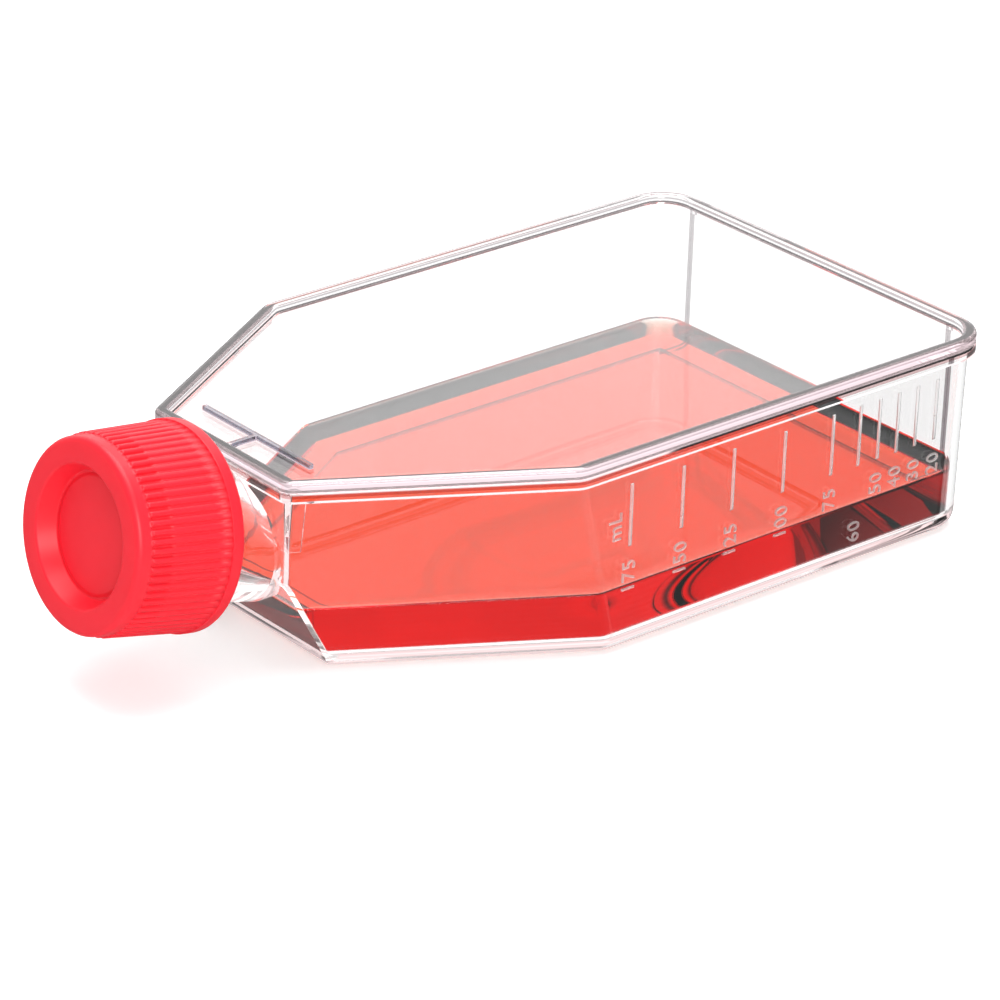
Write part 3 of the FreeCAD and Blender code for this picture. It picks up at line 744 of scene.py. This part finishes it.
def mirrorRay(material, path):
    # 1 for a ray thrown back by a glossy face, and 0 for every other kind
    thrownBack, diffuse = path.outputs["Is Reflection Ray"], path.outputs["Is Diffuse Ray"]
    return calculate(material, "MAXIMUM", calculate(material, "SUBTRACT", thrownBack, diffuse), 0.0)


def mixShaders(material, share, low, high):
    mix = addNode(material, "ShaderNodeMixShader")
    join(material, share, mix.inputs["Fac"])
    join(material, low, mix.inputs[1])
    join(material, high, mix.inputs[2])
    return mix.outputs[0]


def palePaint():
    material = newMaterial("pale_floor")
    path = addNode(material, "ShaderNodeLightPath")
    diffuse = addNode(material, "ShaderNodeBsdfDiffuse", {"Color": (stage["floorGrey"],) * 3 + (1,)})
    glow = addNode(material, "ShaderNodeEmission", {"Color": (1, 1, 1, 1)})
    strength = multiply(material, path.outputs["Is Camera Ray"], stage["floorGlow"])
    join(material, strength, glow.inputs["Strength"])
    lit = addNode(material, "ShaderNodeAddShader")
    join(material, diffuse.outputs[0], lit.inputs[0])
    join(material, glow.outputs[0], lit.inputs[1])
    mirrored = addNode(material, "ShaderNodeEmission", {
        "Color": (1, 1, 1, 1), "Strength": stage["floorMirrored"],
    })
    seen = mixShaders(material, mirrorRay(material, path), lit.outputs[0], mirrored.outputs[0])
    # glass shows the studio through the floor, as on a light table
    clear = addNode(material, "ShaderNodeBsdfTransparent")
    surface = mixShaders(material, path.outputs["Is Transmission Ray"], seen, clear.outputs[0])
    return finishMaterial(material, surface)


def stageFloor():
    half = stage["floorSize"] / 2
    mesh = bpy.data.meshes.new("floor")
    corners = [(-half, -half, 0), (half, -half, 0), (half, half, 0), (-half, half, 0)]
    mesh.from_pydata(corners, [], [(0, 1, 2, 3)])
    mesh.materials.append(palePaint())
    floor = bpy.data.objects.new("floor", mesh)
    bpy.context.scene.collection.objects.link(floor)


def facing(world, direction, area):
    # how bright the studio is that way, going from low to high as the direction turns to the area's aim
    aim = Vector(area["aim"])
    source = direction
    if aim.z == 0:
        level = addNode(world, "ShaderNodeVectorMath", {1: (1, 1, 0)}, operation="MULTIPLY")
        unit = addNode(world, "ShaderNodeVectorMath", operation="NORMALIZE")
        join(world, direction, level.inputs[0])
        join(world, level.outputs[0], unit.inputs[0])
        source = unit.outputs[0]
    dot = addNode(world, "ShaderNodeVectorMath", {1: tuple(aim.normalized())}, operation="DOT_PRODUCT")
    join(world, source, dot.inputs[0])
    return blend(world, dot.outputs["Value"], area["from"], area["to"], area["low"], area["high"])


def stageWorld():
    world = bpy.data.worlds.new("studio")
    world.use_nodes = True
    bpy.context.scene.world = world
    world.node_tree.nodes.clear()
    path = addNode(world, "ShaderNodeLightPath")
    direction = addNode(world, "ShaderNodeTexCoord").outputs["Generated"]
    # glass shows a white backdrop, and the dimmer room for light thrown back inside it
    room = multiply(world, facing(world, direction, stage["room"]), facing(world, direction, stage["panel"]))
    mirrored = above(world, path.outputs["Glossy Depth"], mirroredOnce)
    dimming = multiply(world, calculate(world, "SUBTRACT", 1.0, room), mirrored)
    through = multiply(world, calculate(world, "SUBTRACT", 1.0, dimming), stage["backdrop"])
    # gloss shows a bright soft box over the backdrop, dimmer elsewhere
    gloss = facing(world, direction, stage["softBox"])
    total = path.outputs["Is Camera Ray"]
    for part in (multiply(world, path.outputs["Is Transmission Ray"], through),
                 multiply(world, mirrorRay(world, path), gloss),
                 multiply(world, path.outputs["Is Diffuse Ray"], stage["ambient"])):
        total = calculate(world, "ADD", total, part)
    background = addNode(world, "ShaderNodeBackground", {"Color": (1, 1, 1, 1)})
    join(world, total, background.inputs["Strength"])
    output = addNode(world, "ShaderNodeOutputWorld")
    join(world, background.outputs[0], output.inputs["Surface"])


def softLamp(name, place, width, watts):
    # a square lamp that shines at the middle of the flask's foot
    data = bpy.data.lights.new(name, "AREA")
    data.shape = "SQUARE"
    data.size = width
    data.energy = watts
    lamp = bpy.data.objects.new(name, data)
    lamp.location = place
    lamp.rotation_mode = "QUATERNION"
    lamp.rotation_quaternion = (-Vector(place)).to_track_quat("-Z", "Y")
    bpy.context.scene.collection.objects.link(lamp)


def stageCamera():
    data = bpy.data.cameras.new("camera")
    data.lens = stage["cameraLens"]
    data.clip_end = stage["cameraFar"]
    camera = bpy.data.objects.new("camera", data)
    turn = Euler([math.radians(angle) for angle in stage["cameraTurn"]]).to_matrix().to_4x4()
    camera.matrix_world = Matrix.Translation(stage["cameraPlace"]) @ turn
    bpy.context.scene.collection.objects.link(camera)
    bpy.context.scene.camera = camera


stageFloor()
stageWorld()
for lampName, lamp in stage["lamps"].items():
    softLamp(lampName, lamp["place"], lamp["width"], lamp["watts"])
stageCamera()
bpy.context.scene.view_settings.view_transform = "Standard"
print("floor, light and camera")
